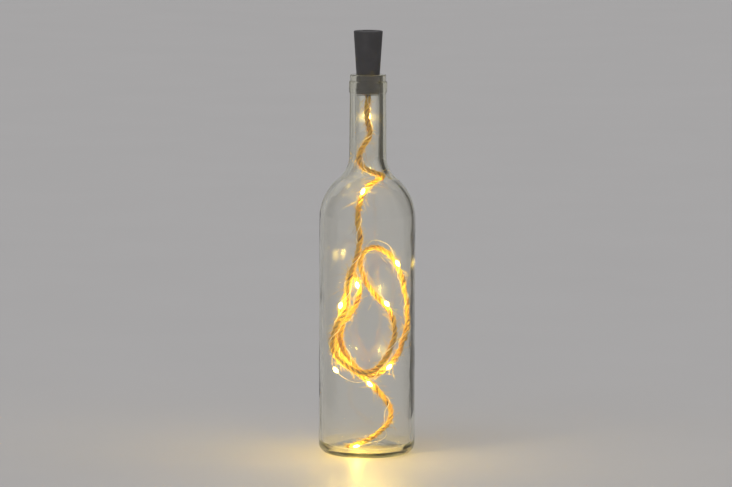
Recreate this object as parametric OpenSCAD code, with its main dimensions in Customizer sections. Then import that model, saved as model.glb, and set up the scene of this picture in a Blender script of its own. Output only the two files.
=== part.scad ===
// Cork bottle light: a clear wine bottle, a hollow plastic cork with its battery
// case inside, and a jute rope with a string of lights that hangs in the bottle.
// Millimetres. +Z is up, and the origin is the middle of the base on the table.

/* [Bottle] */
// Height from the table to the mouth
bottle_h = 298; // [285:1:320]
// Outer diameter of the straight body
body_d = 75.4; // [75:0.2:86]
// Thickness of the body's wall
body_wall = 3; // [2:0.1:3.2]
// Height of the straight body's upper end
body_top = 185; // [180:1:195]
// Outer radius of the rounded shoulder
shoulder_r = 41; // [36:1:46]
// Outer radius of the hollow between shoulder and neck
neck_blend_r = 22; // [16:1:28]
// Outer diameter where the neck begins
neck_low_d = 29.2; // [28.6:0.1:31]
// Outer diameter just under the mouth band
neck_top_d = 28.3; // [27:0.1:28.6]
// Inner diameter of the neck
neck_bore_d = 19; // [18.8:0.1:20.5]
// Inner diameter at the mouth
mouth_bore_d = 18.6; // [18.5:0.05:18.8]
// Outer diameter of the lip above the band
lip_d = 28.2; // [27:0.1:29]
// Height of the lip
lip_h = 5.2; // [3:0.1:7]
// Outer diameter of the band under the lip
band_d = 29.7; // [29.2:0.1:31]
// Height of the band
band_h = 9.4; // [6:0.1:12]
// Rounding of the lip and the band
rim_r = 1; // [0.5:0.1:1.4]
// Rounding of the heel
heel_r = 8; // [6:0.5:9]
// Width of the ring that the bottle stands on
foot_w = 1; // [0.6:0.1:2]
// Height of the hollow under the base
punt_h = 7; // [5:0.5:9]
// Thickness of the glass in the middle of the base
base_t = 4; // [3.5:0.1:6]

/* [Cork] */
// Height of the cork above the mouth
head_h = 34; // [33:0.5:40]
// Depth of the cork in the neck
plug_h = 14; // [12:0.5:20]
// Diameter of the flat top
cork_top_d = 22.6; // [21:0.1:26]
// Diameter where the cork enters the mouth
cork_mouth_d = 18.3; // [18.2:0.05:18.4]
// Diameter of the lower end
cork_tip_d = 18; // [17.9:0.05:18.2]
// Rounding of the top edge
cork_edge_r = 0.8; // [0.4:0.1:1.2]
// Thickness of the side wall
cork_wall = 1.5; // [1.4:0.05:1.5]
// Thickness of the top wall under the switch recess
top_wall = 1.6; // [1.2:0.1:2]
// Depth of the switch recess in the top
recess_depth = 1.4; // [1:0.1:1.6]
// Length of the switch recess
recess_l = 9.6; // [9:0.1:12]
// Width of the switch recess
recess_w = 4.6; // [4:0.1:6]
// Width of the guide ribs inside
guide_rib_w = 1.2; // [0.8:0.1:2]

/* [Battery case] */
// Outer diameter of the case
case_d = 14.4; // [14.3:0.05:14.5]
// Diameter of the flange that closes the cork
flange_d = 17.6; // [17:0.1:17.8]
// Thickness of the flange
flange_t = 1.6; // [1.2:0.1:2.2]
// Height of the chamber where the rope ends
chamber_h = 11.5; // [11:0.5:13]
// Thickness of the floors above and below the batteries
floor_t = 1.4; // [1:0.1:1.6]
// Height of the room under the circuit board
parts_room = 2.6; // [2.4:0.1:3]
// Diameter of the outlet bush
bush_d = 6.8; // [6.6:0.1:7.4]
// Running clearance between parts that slide
slide_gap = 0.3; // [0.25:0.05:0.35]
// Clearance round parts that sit in a seat
seat_gap = 0.15; // [0.1:0.05:0.2]

/* [Batteries and contacts] */
// Diameter of a button cell
cell_d = 11.6; // [11.4:0.1:11.6]
// Thickness of a button cell
cell_t = 5.4; // [5:0.1:5.4]
// Number of button cells
cell_count = 3; // [3:1:3]
// Thickness of the contact sheet
contact_t = 0.3; // [0.2:0.05:0.4]
// Wire of the contact spring
spring_wire_d = 0.5; // [0.4:0.05:0.6]
// Height of the contact spring
spring_h = 2.6; // [2.4:0.1:3]
// Turns of the contact spring
spring_turns = 3; // [2:1:4]

/* [Switch and board] */
// Thickness of the circuit board
board_t = 1; // [0.8:0.1:1.6]
// Length of the slide switch
switch_l = 8.6; // [8:0.1:9]
// Width of the slide switch
switch_w = 3.6; // [3.4:0.1:4]
// Height of the slide switch
switch_h = 3.4; // [3:0.1:4]
// Travel of the switch
switch_travel = 2; // [1.5:0.1:2.2]
// Length of the knob along its travel
knob_l = 2.2; // [1.8:0.1:2.4]
// Width of the knob
knob_w = 1.8; // [1.4:0.1:2]

/* [Rope and lights] */
// Diameter of the jute rope
rope_d = 4.2; // [3.6:0.1:4.4]
// Diameter of the thin wire with the lights
wire_d = 0.6; // [0.5:0.05:0.6]
// Free space between the rope and the wire
wire_gap = 0.5; // [0.45:0.05:0.6]
// Length of rope that one turn of the wire takes
wire_pitch = 30; // [26:1:40]
// Diameter of a light's clear drop
drop_d = 3; // [2.6:0.1:3.2]
// Length of a light's clear drop
drop_l = 5.2; // [4.8:0.1:5.2]

/* [Hidden] */
eps = 0.01;
round_fn = 96;
arc_step = 6;

// Heights of the cork and of what it holds
mouth_z = bottle_h;
cork_low_z = mouth_z - plug_h;
cork_top_z = mouth_z + head_h;
case_low_z = cork_low_z - flange_t;
chamber_z = cork_low_z + floor_t;
bay_floor_z = cork_low_z + chamber_h;
bay_z = bay_floor_z + floor_t;
negative_top_z = bay_z + contact_t;
cell_z = negative_top_z + spring_h;
stack_gap = 0.05;
cell_step = cell_t + stack_gap;
positive_z = cell_z + cell_count * cell_step;
bay_top_z = positive_z + contact_t + stack_gap;
room_z = bay_top_z + floor_t;
board_z = room_z + parts_room;
switch_z = board_z + board_t;
recess_z = cork_top_z - recess_depth;
ceiling_z = recess_z - top_wall;
case_top_z = ceiling_z - 0.8;
knob_foot_h = 1.2;
knob_z = switch_z + switch_h - knob_foot_h;
knob_top_z = cork_top_z - 0.6;

// Radii of the case
case_r = case_d / 2;
bay_r = cell_d / 2 + seat_gap;
room_r = bay_r - 0.8;
sleeve_r = case_r + slide_gap;
lead_d = 0.6;
lead_path_r = case_r - 0.1 - lead_d / 2;
lead_angle = 22;
knob_rest_x = -switch_travel / 2;

// Points on an arc round centre c, from angle a0 to a1
function arc(c, r, a0, a1) =
  let (n = max(2, ceil(abs(a1 - a0) / arc_step)))
  [for (i = [0:n]) let (a = a0 + (a1 - a0) * i / n) c + r * [cos(a), sin(a)]];

// One side of the bottle from the body to the neck: a shoulder arc of radius r1
// from body radius rb, and an arc of radius r2 that leads into neck radius rn
function shoulder(rb, r1, rn, r2) =
  let (
    c1 = [rb - r1, body_top],
    dx = rn + r2 - c1[0],
    c2 = [rn + r2, body_top + sqrt((r1 + r2) * (r1 + r2) - dx * dx)],
    turn = acos(dx / (r1 + r2))
  )
  concat(arc(c1, r1, 0, turn), arc(c2, r2, 180 + turn, 180));

// A dome over the base, from radius r at height z0 to z0 + rise in the middle
function dome(r, z0, rise) =
  let (big = (r * r + rise * rise) / (2 * rise), half = asin(r / big))
  [for (i = [0:8]) let (a = half * (1 - i / 8)) [big * sin(a), z0 + rise - big + big * cos(a)]];

function backwards(list) = [for (i = [len(list) - 1:-1:0]) list[i]];

body_r = body_d / 2;
inner_r = body_r - body_wall;
heel_inner_r = heel_r - 2;
floor_edge_z = 5;
band_low_z = mouth_z - lip_h - band_h;
foot_outer_r = body_r - heel_r;
foot_inner_r = foot_outer_r - foot_w;

outer_side = concat(
  [[foot_inner_r, 0]],
  arc([foot_outer_r, heel_r], heel_r, -90, 0),
  shoulder(body_r, shoulder_r, neck_low_d / 2, neck_blend_r),
  [[neck_top_d / 2, band_low_z]],
  arc([band_d / 2 - rim_r, band_low_z + rim_r], rim_r, -90, 0),
  arc([band_d / 2 - rim_r, mouth_z - lip_h - rim_r], rim_r, 0, 80),
  [[lip_d / 2, mouth_z - lip_h + 0.4]],
  arc([lip_d / 2 - rim_r, mouth_z - rim_r], rim_r, 0, 90)
);
inner_side = concat(
  arc([inner_r - heel_inner_r, floor_edge_z + heel_inner_r], heel_inner_r, -90, 0),
  shoulder(inner_r, shoulder_r - body_wall, neck_bore_d / 2, neck_blend_r + 3),
  [[neck_bore_d / 2, band_low_z - 2], [mouth_bore_d / 2, band_low_z]],
  arc([mouth_bore_d / 2 + rim_r, mouth_z - rim_r], rim_r, 180, 90)
);

module glass_bottle() {
  color([0.72, 0.78, 0.72, 0.35])
  rotate_extrude($fn = round_fn)
    polygon(concat(
      [[0, punt_h]],
      backwards(dome(foot_inner_r, 0, punt_h)),
      outer_side,
      backwards(inner_side),
      dome(inner_r - heel_inner_r, floor_edge_z, punt_h + base_t - floor_edge_z)
    ));
}

// A flat slot with round ends, along X
module slot(l, w, h) {
  linear_extrude(h) {
    square([l - w, w], center = true);
    for (x = [-1, 1]) translate([x * (l - w) / 2, 0]) circle(d = w, $fn = 32);
  }
}

module cork_shell() {
  top_r = cork_top_d / 2;
  mouth_r = cork_mouth_d / 2;
  outside = concat(
    [[cork_tip_d / 2 - 0.3, cork_low_z], [cork_tip_d / 2, cork_low_z + 0.5], [mouth_r, mouth_z]],
    arc([top_r - cork_edge_r, cork_top_z - cork_edge_r], cork_edge_r, 0, 90)
  );
  sleeve_top_z = mouth_z - 4;
  inside = [
    [0, ceiling_z], [top_r - cork_wall - 0.6, ceiling_z], [top_r - cork_wall - 0.2, ceiling_z - 1],
    [max(mouth_r - cork_wall, sleeve_r), mouth_z], [sleeve_r, sleeve_top_z], [sleeve_r, cork_low_z]
  ];
  slot_l = switch_travel + knob_l + 2 * slide_gap;
  color([0.16, 0.16, 0.17])
  difference() {
    union() {
      rotate_extrude($fn = round_fn)
        polygon(concat(outside, [[0, cork_top_z]], inside));
      intersection() {
        for (a = [45:90:315]) rotate(a)
          translate([sleeve_r, -guide_rib_w / 2, mouth_z])
            cube([top_r, guide_rib_w, ceiling_z - mouth_z + eps]);
        rotate_extrude($fn = round_fn)
          polygon([
            [0, mouth_z], [mouth_r - cork_wall / 2, mouth_z],
            [top_r - cork_wall / 2, ceiling_z + eps], [0, ceiling_z + eps]
          ]);
      }
    }
    translate([0, 0, recess_z]) slot(recess_l, recess_w, recess_depth + 1);
    translate([0, 0, ceiling_z - 1])
      slot(slot_l, knob_w + 2 * slide_gap, top_wall + 2);
  }
}

module ring(outer_r, inner_r, z0, z1) {
  translate([0, 0, z0]) difference() {
    cylinder(r = outer_r, h = z1 - z0, $fn = round_fn);
    translate([0, 0, -1]) cylinder(r = inner_r, h = z1 - z0 + 2, $fn = round_fn);
  }
}

module disc(r, z0, z1) {
  translate([0, 0, z0]) cylinder(r = r, h = z1 - z0, $fn = round_fn);
}

negative_groove = contact_t + 0.3;
strip_w = 1.6;
tab_x = 3.4;
bush_clear_r = bush_d / 2 + seat_gap;
bush_low_z = case_low_z;
bush_collar_r = bush_clear_r + 1;
lead_turn_z = room_z + 1;
lead_in_z = cork_low_z + 10;

module battery_case() {
  color([0.06, 0.06, 0.065])
  difference() {
    union() {
      disc(flange_d / 2, case_low_z, cork_low_z);
      disc(case_r, cork_low_z - eps, case_top_z);
    }
    disc(bush_clear_r, case_low_z - 1, chamber_z + 1);
    disc(bay_r, chamber_z, bay_floor_z);
    disc(bay_r, bay_z, bay_top_z);
    disc(room_r, room_z, board_z + eps);
    disc(bay_r, board_z, case_top_z + 1);
    // The side is open over the batteries, so that they go in from the back
    translate([-case_r, 0, bay_z + 0.4])
      cube([case_d, case_r + 1, bay_top_z - bay_z - 0.8]);
    // Room for the strip of the lower contact and the tab of the upper one
    translate([-strip_w / 2 - seat_gap, -bay_r - negative_groove, bay_z])
      cube([strip_w + 2 * seat_gap, 1.2, board_z - bay_z + eps]);
    translate([tab_x - contact_t / 2 - seat_gap, -strip_w / 2 - seat_gap, bay_top_z - 1])
      cube([contact_t + 2 * seat_gap, strip_w + 2 * seat_gap, floor_t + 2]);
    // Grooves down the side, and the holes where the leads pass through it
    for (side = [-1, 1]) rotate(-90 + side * lead_angle) {
      translate([lead_path_r, 0, lead_in_z])
        cylinder(d = lead_d + seat_gap, h = lead_turn_z - lead_in_z, $fn = 24);
      translate([lead_path_r, -(lead_d + seat_gap) / 2, lead_in_z])
        cube([2, lead_d + seat_gap, lead_turn_z - lead_in_z]);
      for (z = [lead_in_z, lead_turn_z]) translate([room_r - 1, 0, z]) rotate([0, 90, 0])
        cylinder(d = lead_d + seat_gap, h = case_r, $fn = 24);
    }
  }
}

module outlet_bush() {
  color([0.12, 0.12, 0.12])
  difference() {
    union() {
      disc(bush_d / 2, bush_low_z, chamber_z + 2.6);
      disc(bush_collar_r, chamber_z, chamber_z + 1);
    }
    disc(rope_d / 2 + 0.05, bush_low_z - 1, chamber_z + 4);
    translate([0, -wire_r, bush_low_z - 1]) cylinder(d = wire_d + seat_gap, h = 12, $fn = 24);
    translate([-(wire_d + seat_gap) / 2, -wire_r, bush_low_z - 1])
      cube([wire_d + seat_gap, wire_r, 12]);
  }
}

// A button cell: the can below, and the smaller raised face on top
module battery_cell(i) {
  face_h = 0.4;
  face_r = cell_d / 2 - 1;
  color([0.78, 0.78, 0.76])
  translate([0, 0, cell_z + i * cell_step])
    rotate_extrude($fn = round_fn) polygon(concat(
      [[0, 0]], arc([cell_d / 2 - 0.4, 0.4], 0.4, -90, 0),
      [[cell_d / 2, cell_t - face_h], [face_r, cell_t - face_h]],
      arc([face_r - 0.2, cell_t - 0.2], 0.2, 0, 90), [[0, cell_t]]
    ));
}

function unit(v) = v / norm(v);

function tangents(p) =
  [for (i = [0:len(p) - 1]) unit(p[min(i + 1, len(p) - 1)] - p[max(i - 1, 0)])];

// Sideways directions that follow a path without twisting round it
function sides_along(t, first) =
  [for (i = 0, u = first; i < len(t); i = i + 1, u = i < len(t) ? unit(u - (u * t[i]) * t[i]) : u) u];

function upright(v) = abs(v[2]) > 0.9 ? [0, -1, 0] : [0, 0, 1];

function first_side(t) = let (w = upright(t[0])) unit(w - (w * t[0]) * t[0]);

// A tube of triangles through the points of a path, from ring a to ring b
module tube(p, t, u, r, n, a, b) {
  rings = b - a + 1;
  pts = [for (i = [a:b]) for (k = [0:n - 1])
    let (ang = 360 * k / n) p[i] + r * (cos(ang) * u[i] + sin(ang) * cross(t[i], u[i]))];
  side_faces = [for (i = [0:rings - 2]) for (k = [0:n - 1])
    let (m = (k + 1) % n, q = i * n) each [[q + k, q + n + k, q + m], [q + m, q + n + k, q + n + m]]];
  cap_low = [for (k = [1:n - 2]) [0, k, k + 1]];
  cap_high = [for (k = [1:n - 2]) let (q = (rings - 1) * n) [q, q + k + 1, q + k]];
  polyhedron(points = pts, faces = concat(side_faces, cap_low, cap_high), convexity = 12);
}

spring_low_r = 4.2;
spring_tip_r = 2;
spring_steps = 8;
spring_low = negative_top_z + spring_wire_d / 2 + stack_gap;
spring_high = cell_z - spring_wire_d / 2 - stack_gap;
spring_count = spring_turns * spring_steps;
spring_path = [for (i = [0:spring_count])
  let (
    f = i / spring_count, a = 360 * i / spring_steps,
    r = spring_low_r + (spring_tip_r - spring_low_r) * f
  )
  [r * cos(a), r * sin(a), spring_low + (spring_high - spring_low) * f]];
spring_tangents = tangents(spring_path);
spring_sides = sides_along(spring_tangents, first_side(spring_tangents));

module contact_spring() {
  color([0.75, 0.75, 0.72])
  tube(spring_path, spring_tangents, spring_sides, spring_wire_d / 2, 6, 0, spring_count);
}

module contact_negative() {
  color([0.8, 0.78, 0.7]) {
    disc(bay_r - 0.8, bay_z, negative_top_z);
    translate([-strip_w / 2, -bay_r - contact_t - 0.15, bay_z]) {
      cube([strip_w, 2, contact_t]);
      cube([strip_w, contact_t, board_z - bay_z]);
    }
  }
}

module contact_positive() {
  color([0.8, 0.78, 0.7]) {
    disc(bay_r - 1.6, positive_z, positive_z + contact_t);
    translate([tab_x - contact_t / 2, -strip_w / 2, positive_z])
      cube([contact_t, strip_w, board_z - positive_z]);
  }
}

pin_spacing = 2.5;
pin_d = 0.6;

module circuit_board() {
  color([0.08, 0.3, 0.16])
  difference() {
    disc(bay_r - seat_gap, board_z, board_z + board_t);
    for (x = [-1:1]) translate([x * pin_spacing, 0, board_z - 1])
      cylinder(d = pin_d + seat_gap, h = board_t + 2, $fn = 24);
  }
}

// The dropping resistor and the driver chip under the board
module board_components() {
  color([0.1, 0.1, 0.1]) {
    translate([-3.6, 1.6, board_z - 0.6]) cube([2, 1.2, 0.6]);
    translate([-0.4, 1.4, board_z - 1]) cube([2.9, 1.6, 1]);
    for (x = [0.1:0.9:1.9]) for (y = [0.9, 3])
      translate([x, y, board_z - 0.5]) cube([0.4, 0.5, 0.5]);
  }
}

module switch_housing() {
  color([0.6, 0.6, 0.6])
  translate([0, 0, switch_z]) difference() {
    translate([-switch_l / 2, -switch_w / 2, 0]) cube([switch_l, switch_w, switch_h]);
    translate([0, 0, switch_h - knob_foot_h - 0.3])
      slot(switch_travel + knob_l + 2 * slide_gap, knob_w + 2 * seat_gap, knob_foot_h + 1);
  }
}

module switch_pins() {
  color([0.85, 0.8, 0.6])
  for (x = [-1:1]) translate([x * pin_spacing, 0, board_z - 1])
    cylinder(d = pin_d, h = board_t + 1, $fn = 24);
}

module switch_knob() {
  grip_l = 0.35;
  color([0.3, 0.3, 0.31])
  translate([knob_rest_x, 0, 0]) difference() {
    translate([0, 0, knob_z]) slot(knob_l, knob_w, knob_top_z - knob_z);
    for (x = [-1:1]) translate([x * 2 * grip_l - grip_l / 2, -knob_w, knob_top_z - 0.3])
      cube([grip_l, 2 * knob_w, 1]);
  }
}

rope_top_z = cork_low_z + 6;
wire_top_z = rope_top_z + 1.6;
sleeve_low_z = rope_top_z + 0.2;
sleeve_h = 3;
lead_end_z = wire_top_z + 0.2;
wire_r = rope_d / 2 + wire_gap + wire_d / 2;
splice_r = 1.05;

// A path with each corner cut off at distance r from it
function softened(p, r) = concat(
  [p[0]],
  [for (i = [1:len(p) - 2]) each [p[i] + r * unit(p[i - 1] - p[i]), p[i] + r * unit(p[i + 1] - p[i])]],
  [p[len(p) - 1]]
);

// A lead from the board, out to its groove, down the case and in to the splice
module lead(side) {
  a = -90 + side * lead_angle;
  top = 3.8 * [cos(a), sin(a)];
  out = lead_path_r * [cos(a), sin(a)];
  inside = (bay_r - 1) * [cos(a), sin(a)];
  end_x = side * (lead_d / 2 + 0.02);
  p = softened([
    [top[0], top[1], board_z], [top[0], top[1], lead_turn_z],
    [out[0], out[1], lead_turn_z], [out[0], out[1], lead_in_z],
    [inside[0], inside[1], lead_in_z], [end_x, -wire_r, lead_in_z], [end_x, -wire_r, lead_end_z]
  ], 0.4);
  t = tangents(p);
  tube(p, t, sides_along(t, first_side(t)), lead_d / 2, 8, 0, len(p) - 1);
}

module lead_positive() {
  color([0.6, 0.1, 0.08]) lead(1);
}

module lead_negative() {
  color([0.05, 0.05, 0.05]) lead(-1);
}

module splice_sleeve() {
  color([0.1, 0.1, 0.1])
  translate([0, -wire_r, sleeve_low_z]) difference() {
    cylinder(r = splice_r, h = sleeve_h, $fn = 32);
    translate([0, 0, -1]) cylinder(r = splice_r - 0.35, h = 6, $fn = 32);
  }
}

// The rope's route, from the cork down the neck, through the loops to its end
rope_start = [[0, 0, rope_top_z], [0, 0, cork_low_z - 3]];
neck_points = [
  [-1, -0.5, 271], [0, -2, 261], [1.8, -1, 252], [-1.5, 1.5, 245], [-5.5, 2.5, 238.5],
  [-6.8, -1, 231], [-2.5, -6.5, 225], [5.5, -7, 221], [11.5, 0, 218],
  [6, 7, 213.5], [-1, 6.5, 208], [-5, 2, 200.5], [-7, 0, 191], [-7.5, -1.5, 181],
  [-5.5, -3, 171], [-7, -6, 161.5], [-9.5, -8, 152], [-12.5, -10, 142],
  [-15, -12, 132], [-15.5, -13, 122]
];
front_loop_points = [
  [-17.5, -14.5, 112.5], [-22, -16.5, 104.5], [-25.5, -17, 95.5], [-25.8, -17, 86],
  [-22.5, -17.5, 77], [-14.5, -20, 71], [-5.5, -21.5, 67], [4, -22, 67.5], [12, -21.5, 74],
  [17, -20, 83], [20.5, -18, 93], [21, -15.5, 103.5], [17.5, -12.5, 113.5],
  [10.5, -9, 121.5], [3.5, -3.5, 129], [-2, 4, 137], [-5.5, 8, 146.5], [-3.5, 10.5, 156]
];
wide_loop_points = [
  [4.5, 13.5, 160.5], [13.5, 15.5, 158], [21, 15, 151.5], [26, 12.5, 142.5],
  [29, 9, 133], [31, 5.5, 123], [32, 2, 112.5], [31.5, -2, 102.5], [29, -5, 92.5],
  [25.5, -7.5, 82.5], [20, -9.5, 73.5], [12.5, -11.5, 66.5], [3.5, -12.5, 63],
  [-5, -13.5, 66], [-12, -14, 73.5], [-17.5, -13, 82], [-20.5, -11.5, 91.5],
  [-19, -9, 101.5], [-13.5, -6.5, 110], [-8.5, -5.5, 118.5], [-6, -5.5, 128], [-8, -3.5, 137]
];
back_loop_points = [
  [-12.5, 3.5, 142], [-15, 12, 138.5], [-16, 16.5, 130], [-18, 17, 120],
  [-20.5, 15.5, 110], [-23, 12, 100.5], [-24, 8, 91], [-22.5, 5, 81], [-17.5, 2.5, 72]
];
tail_points = [
  [-10, 0.5, 65], [-1.5, -1.5, 59], [6, -1, 52], [13, 1, 44], [18.5, 1, 35],
  [18, -4, 26], [12, -10, 20], [5, -15.5, 15], [-5, -21, 10.5], [-14.5, -25, 7.8]
];
route = concat(
  rope_start, neck_points, front_loop_points, wide_loop_points, back_loop_points, tail_points
);
route_tangents = tangents(route);
route_sides = sides_along(route_tangents, [0, -1, 0]);
last_ring = len(route) - 1;
rope_sides = 10;

// Rings of the route where the rope leaves the cork's reach and meets the belly
neck_from = 4;
neck_to = 12;

// Distance along the route to each of its points
function running(p) =
  [for (i = 0, s = 0; i < len(p); i = i + 1, s = i < len(p) ? s + norm(p[i] - p[i - 1]) : s) s];

reach = running(route);

module rope(a, b) {
  color([0.72, 0.5, 0.24])
  tube(route, route_tangents, route_sides, rope_d / 2, rope_sides, a, b);
}

// Where the wire is held at the rope's side: the stretch of the route, the side that
// it faces there, how far it stands off, and whether a light is there or a loose loop
stops = [
  [2, [0.3, 1, 0], 0, true], [12, [-0.3, -1, 0.2], 0, true],
  [21, [-1, -0.3, -0.2], 0, true], [25, [-0.8, 1, 0], 0, false],
  [26, [-1, 0.1, -0.4], 3, true], [27, [-0.5, -0.4, -1], 7, false],
  [28, [0.2, -0.5, -1], 3, false], [34, [0.4, -1, 0.6], 0, true],
  [40, [0.1, 0, 1], 4, false], [42, [0, -1, 0.7], 0.5, true],
  [50, [-0.1, -1, -0.3], 0, true], [60, [-0.1, -1, -0.2], 0, true],
  [72, [-0.2, -1, 0.1], 0, true], [75, [-1, -0.2, -0.2], 2.5, false],
  [77, [0.8, -0.3, -0.8], 3.5, false], [78, [0.3, -1, -0.6], 0.5, false],
  [79, [-0.5, -0.9, -0.3], 0.2, true]
];
lights = [for (s = stops) if (s[3]) s];
last_stop = len(stops) - 1;
drop_from = 0.2;
drop_to = 0.8;
light_r = rope_d / 2 + drop_d / 2 + wire_gap;

function mix(a, b, f) = a + (b - a) * f;

// A point beside the rope: fraction f of stretch i, at angle a and distance r
function beside(i, f, a, r) =
  let (
    j = min(i + 1, last_ring),
    e0 = cos(a) * route_sides[i] + sin(a) * cross(route_tangents[i], route_sides[i]),
    e1 = cos(a) * route_sides[j] + sin(a) * cross(route_tangents[j], route_sides[j])
  )
  mix(route[i] + r * e0, route[j] + r * e1, f);

// The angle at which a stop's side lies round the rope
function side_angle(stop) =
  let (
    i = stop[0], u = unit(mix(route_sides[i], route_sides[i + 1], 0.5)),
    t = unit(route[i + 1] - route[i]), v = cross(t, u)
  )
  atan2(stop[1] * v, stop[1] * u);

function at(i, f) = mix(reach[i], reach[i + 1], f);

// The wire winds by whole turns between stops, more of them on a longer stretch
function wound_angles() =
  [for (
    k = 0, a = side_angle(stops[0]);
    k <= last_stop;
    k = k + 1,
    a = k <= last_stop
      ? let (
          gap = at(stops[k][0], 0) - at(stops[k - 1][0], 0),
          raw = side_angle(stops[k]) - a
        ) a + raw + 360 * round(gap / wire_pitch - raw / 360)
      : a
  ) a];

stop_angles = wound_angles();
outlet_s = at(1, 0.5);
angle_table = concat(
  [[0, 0], [outlet_s, 0]],
  [for (k = [0:last_stop]) each [
    [at(stops[k][0], drop_from), stop_angles[k]], [at(stops[k][0], drop_to), stop_angles[k]]
  ]]
);

// Distance of the wire from the rope's middle line, at distance s along the route
lift = 6;
lift_share = 1.5;
function standing(stop) = stop[2] + (stop[3] ? light_r - wire_r : 0);
function wire_distance(s) =
  wire_r + max([for (stop = stops)
    let (
      away = max(at(stop[0], drop_from) - s, s - at(stop[0], drop_to), 0),
      part = min(1, away / (lift + lift_share * stop[2]))
    ) standing(stop) * (1 + cos(180 * part)) / 2]);

function has_stop(i) = len([for (stop = stops) if (stop[0] == i) 1]) > 0;
function fractions(i) = has_stop(i) ? [0, drop_from, drop_to] : [0, 1 / 3, 2 / 3];

last_light = stops[last_stop][0];
wire_points = concat(
  [[0, -wire_r, wire_top_z]],
  [for (i = [0:last_light]) for (f = fractions(i))
    beside(i, f, lookup(at(i, f), angle_table), wire_distance(at(i, f)))],
  [beside(last_light, 1, stop_angles[last_stop], light_r)]
);
wire_tangents = tangents(wire_points);
wire_sides = sides_along(wire_tangents, first_side(wire_tangents));
wire_ring = [for (i = [0:last_light + 1]) 1 + 3 * i];
wire_end = len(wire_points) - 1;

module wire(a, b) {
  color([0.85, 0.8, 0.62])
  tube(wire_points, wire_tangents, wire_sides, wire_d / 2, 6, a, b);
}

// Places its children on light k: Z along the wire, X away from the rope
module at_light(k) {
  q = wire_ring[lights[k][0]] + 1;
  a = wire_points[q];
  b = wire_points[q + 1];
  i = lights[k][0];
  z = unit(b - a);
  away = (a + b) / 2 - mix(route[i], route[i + 1], 0.5);
  x = unit(away - (away * z) * z);
  y = cross(z, x);
  c = (a + b) / 2;
  multmatrix([
    [x[0], y[0], z[0], c[0]], [x[1], y[1], z[1], c[1]], [x[2], y[2], z[2], c[2]], [0, 0, 0, 1]
  ]) children();
}

chip_size = [0.5, 0.8, 1.6];
drop_bore_gap = 0.12;
chip_x = wire_d / 2 + 0.1;

module chip_block() {
  translate([chip_x, -chip_size[1] / 2, -chip_size[2] / 2]) cube(chip_size);
}

// A clear drop of resin round the wire, with its chip inside
module light_drop(k) {
  straight = drop_l - drop_d;
  color([1, 0.86, 0.5, 0.6])
  at_light(k) difference() {
    union() {
      translate([0, 0, -straight / 2]) cylinder(d = drop_d, h = straight, $fn = 32);
      for (z = [-1, 1]) translate([0, 0, z * straight / 2]) sphere(d = drop_d, $fn = 32);
    }
    cylinder(d = wire_d + drop_bore_gap, h = drop_l + 1, center = true, $fn = 24);
    chip_block();
  }
}

module light_chip(k) {
  color([1, 0.9, 0.3]) at_light(k) chip_block();
}

// The least gap of a path to itself, past its own neighbours
function least_gap(p, skip) =
  min([for (i = [0:len(p) - 1 - skip]) min([for (j = [i + skip:len(p) - 1]) norm(p[i] - p[j])])]);

rope_fine = [for (i = [0:last_ring - 1]) for (f = [0:0.25:0.75]) mix(route[i], route[i + 1], f)];
union() {
  echo(rope_length = reach[last_ring]);
  echo(rope_least_gap = least_gap(rope_fine, 10) - rope_d);
  echo(wire_least_gap = least_gap(wire_points, 5) - wire_d);
  echo(spring_least_gap = least_gap(spring_path, 6) - spring_wire_d);
}

glass_bottle();
cork_shell();
battery_case();
outlet_bush();
for (i = [1:cell_count])
  battery_cell(i - 1);
contact_spring();
contact_negative();
contact_positive();
circuit_board();
board_components();
switch_housing();
switch_pins();
switch_knob();
lead_positive();
lead_negative();
splice_sleeve();
rope(0, neck_from);  // cork_rope
rope(neck_from, neck_to);  // neck_rope
rope(neck_to, last_ring);  // belly_rope
wire(0, wire_ring[neck_from]);  // cork_wire
wire(wire_ring[neck_from], wire_ring[neck_to]);  // neck_wire
wire(wire_ring[neck_to], wire_end);  // belly_wire
for (k = [1:len(lights)]) let (number = str(k < 10 ? "0" : "", k)) {
  light_drop(k - 1);
  light_chip(k - 1);
}
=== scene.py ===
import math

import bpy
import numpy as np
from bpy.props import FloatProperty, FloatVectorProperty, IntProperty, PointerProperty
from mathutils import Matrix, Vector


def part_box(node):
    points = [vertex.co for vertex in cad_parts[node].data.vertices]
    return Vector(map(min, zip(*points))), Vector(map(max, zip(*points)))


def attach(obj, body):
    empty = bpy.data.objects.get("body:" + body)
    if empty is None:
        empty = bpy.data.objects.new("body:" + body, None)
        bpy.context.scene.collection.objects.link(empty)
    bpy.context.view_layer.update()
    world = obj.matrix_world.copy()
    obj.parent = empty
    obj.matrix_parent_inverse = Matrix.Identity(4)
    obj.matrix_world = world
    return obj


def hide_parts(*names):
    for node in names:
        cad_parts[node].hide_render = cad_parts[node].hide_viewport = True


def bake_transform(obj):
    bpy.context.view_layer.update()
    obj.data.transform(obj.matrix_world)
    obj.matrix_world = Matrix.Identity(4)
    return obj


bl_info = {
    "name": "Cork bottle light",
    "version": (1, 0, 0),
    "blender": (4, 5, 0),
    "location": "View3D > Sidebar > Bottle Light",
    "description": "Dresses a clear bottle, its plastic cork and the jute rope of lights in it",
    "category": "Object",
}

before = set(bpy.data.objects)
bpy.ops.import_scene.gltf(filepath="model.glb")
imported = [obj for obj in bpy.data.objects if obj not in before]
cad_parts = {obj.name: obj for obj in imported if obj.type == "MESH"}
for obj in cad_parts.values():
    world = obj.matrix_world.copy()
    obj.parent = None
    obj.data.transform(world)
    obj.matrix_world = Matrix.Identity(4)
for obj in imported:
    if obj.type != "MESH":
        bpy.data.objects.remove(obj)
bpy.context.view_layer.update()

MM = 0.001
UP = np.array([0.0, 0.0, 1.0])

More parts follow.
